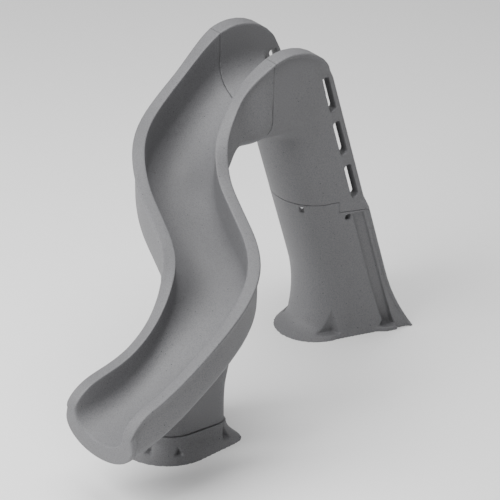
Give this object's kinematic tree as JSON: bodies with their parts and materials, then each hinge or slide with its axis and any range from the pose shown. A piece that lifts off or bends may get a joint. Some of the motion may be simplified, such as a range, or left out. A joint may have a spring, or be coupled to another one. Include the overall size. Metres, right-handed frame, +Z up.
{
  "type": "S-curved garden slide with enclosed ladder",
  "caption": "Free-standing moulded slide with an S-curved U-shaped flume and an enclosed step ladder whose side walls rise into arched handrails with hand slots.",
  "frame": {"origin": "middle of the ladder's foot on the ground", "axes": "+Z up, -Y the way that the user slides, +X to the sliding user's left"},
  "size_m": [2.1237, 3.5081, 2.5647],
  "materials": {
    "moulding": "matte, fine granite speckle",
    "steel": "brushed"
  },
  "bodies": {
    "root": {"runway": "moulding", "runway_leg": "moulding", "runway_foot": "moulding", "upper_ladder": "moulding", "lower_ladder": "moulding", "ladder_joint_bolts": "steel", "ladder_joint_washers": "steel", "top_joint_bolts": "steel", "top_joint_washers": "steel", "leg_bolts": "steel", "leg_washers": "steel"}
  },
  "joints": []
}
